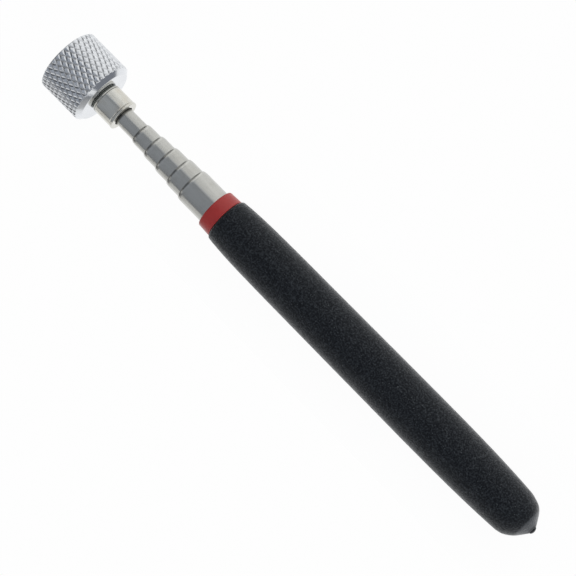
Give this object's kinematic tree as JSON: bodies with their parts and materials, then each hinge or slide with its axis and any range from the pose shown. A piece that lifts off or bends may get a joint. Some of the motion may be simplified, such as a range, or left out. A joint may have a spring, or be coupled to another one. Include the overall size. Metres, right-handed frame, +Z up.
{
  "type": "telescoping magnetic pickup tool",
  "caption": "Pocket magnetic pickup tool: knurled magnet head on a telescoping metal mast of nested tubes, with a soft dipped grip and a coloured ring.",
  "frame": {"origin": "centre of the magnet's front face", "axes": "+X out of the magnet's face along the tool's axis, handle towards -X; +Z up with the closed tool lying on a table"},
  "size_m": [0.1905, 0.0206, 0.0206],
  "materials": {
    "chrome_head": "bright plated, diamond knurled",
    "nickel_mast": "bright nickel plate on drawn tube",
    "plain_steel": "plain turned steel",
    "black_steel": "black oxide spring steel",
    "magnet_nickel": "ground, nickel plated",
    "spacer_plastic": "moulded, matte",
    "brass": "turned",
    "spring_bronze": "rolled strip",
    "ring_red": "satin moulded",
    "grip_vinyl": "dipped, fine grained"
  },
  "bodies": {
    "handle": {"outer_tube": "nickel_mast", "tube_end_plug": "brass", "grip_ring": "ring_red", "grip": "grip_vinyl"},
    "spring_sleeve_5": {"friction_spring_5": "spring_bronze"},
    "section_5": {"tube_5": "nickel_mast", "slide_bush_5": "brass"},
    "spring_sleeve_4": {"friction_spring_4": "spring_bronze"},
    "section_4": {"tube_4": "nickel_mast", "slide_bush_4": "brass"},
    "spring_sleeve_3": {"friction_spring_3": "spring_bronze"},
    "section_3": {"tube_3": "nickel_mast", "slide_bush_3": "brass"},
    "spring_sleeve_2": {"friction_spring_2": "spring_bronze"},
    "section_2": {"tube_2": "nickel_mast", "slide_bush_2": "brass"},
    "spring_sleeve_1": {"friction_spring_1": "spring_bronze"},
    "section_1": {"tube_1": "nickel_mast", "slide_bush_1": "brass", "tube_insert": "brass", "collar": "nickel_mast", "lock_washer": "black_steel", "head_screw": "plain_steel", "magnet_cup": "chrome_head", "backing_disc": "plain_steel", "magnet_spacer_ring": "spacer_plastic", "disc_magnet": "magnet_nickel"}
  },
  "joints": [
    {"name": "section_5_slide", "type": "slide", "parent": "handle", "child": "spring_sleeve_5", "axis": [1, 0, 0], "range_m": [0, 0.117]},
    {"name": "section_5_turn", "type": "hinge", "parent": "spring_sleeve_5", "child": "section_5", "pos_m": [-0.1, 0, 0], "axis": [1, 0, 0], "continuous": true},
    {"name": "section_4_slide", "type": "slide", "parent": "section_5", "child": "spring_sleeve_4", "axis": [1, 0, 0], "range_m": [0, 0.117]},
    {"name": "section_4_turn", "type": "hinge", "parent": "spring_sleeve_4", "child": "section_4", "pos_m": [-0.1, 0, 0], "axis": [1, 0, 0], "continuous": true},
    {"name": "section_3_slide", "type": "slide", "parent": "section_4", "child": "spring_sleeve_3", "axis": [1, 0, 0], "range_m": [0, 0.117]},
    {"name": "section_3_turn", "type": "hinge", "parent": "spring_sleeve_3", "child": "section_3", "pos_m": [-0.1, 0, 0], "axis": [1, 0, 0], "continuous": true},
    {"name": "section_2_slide", "type": "slide", "parent": "section_3", "child": "spring_sleeve_2", "axis": [1, 0, 0], "range_m": [0, 0.117]},
    {"name": "section_2_turn", "type": "hinge", "parent": "spring_sleeve_2", "child": "section_2", "pos_m": [-0.1, 0, 0], "axis": [1, 0, 0], "continuous": true},
    {"name": "section_1_slide", "type": "slide", "parent": "section_2", "child": "spring_sleeve_1", "axis": [1, 0, 0], "range_m": [0, 0.117]},
    {"name": "section_1_turn", "type": "hinge", "parent": "spring_sleeve_1", "child": "section_1", "pos_m": [-0.1, 0, 0], "axis": [1, 0, 0], "continuous": true}
  ]
}
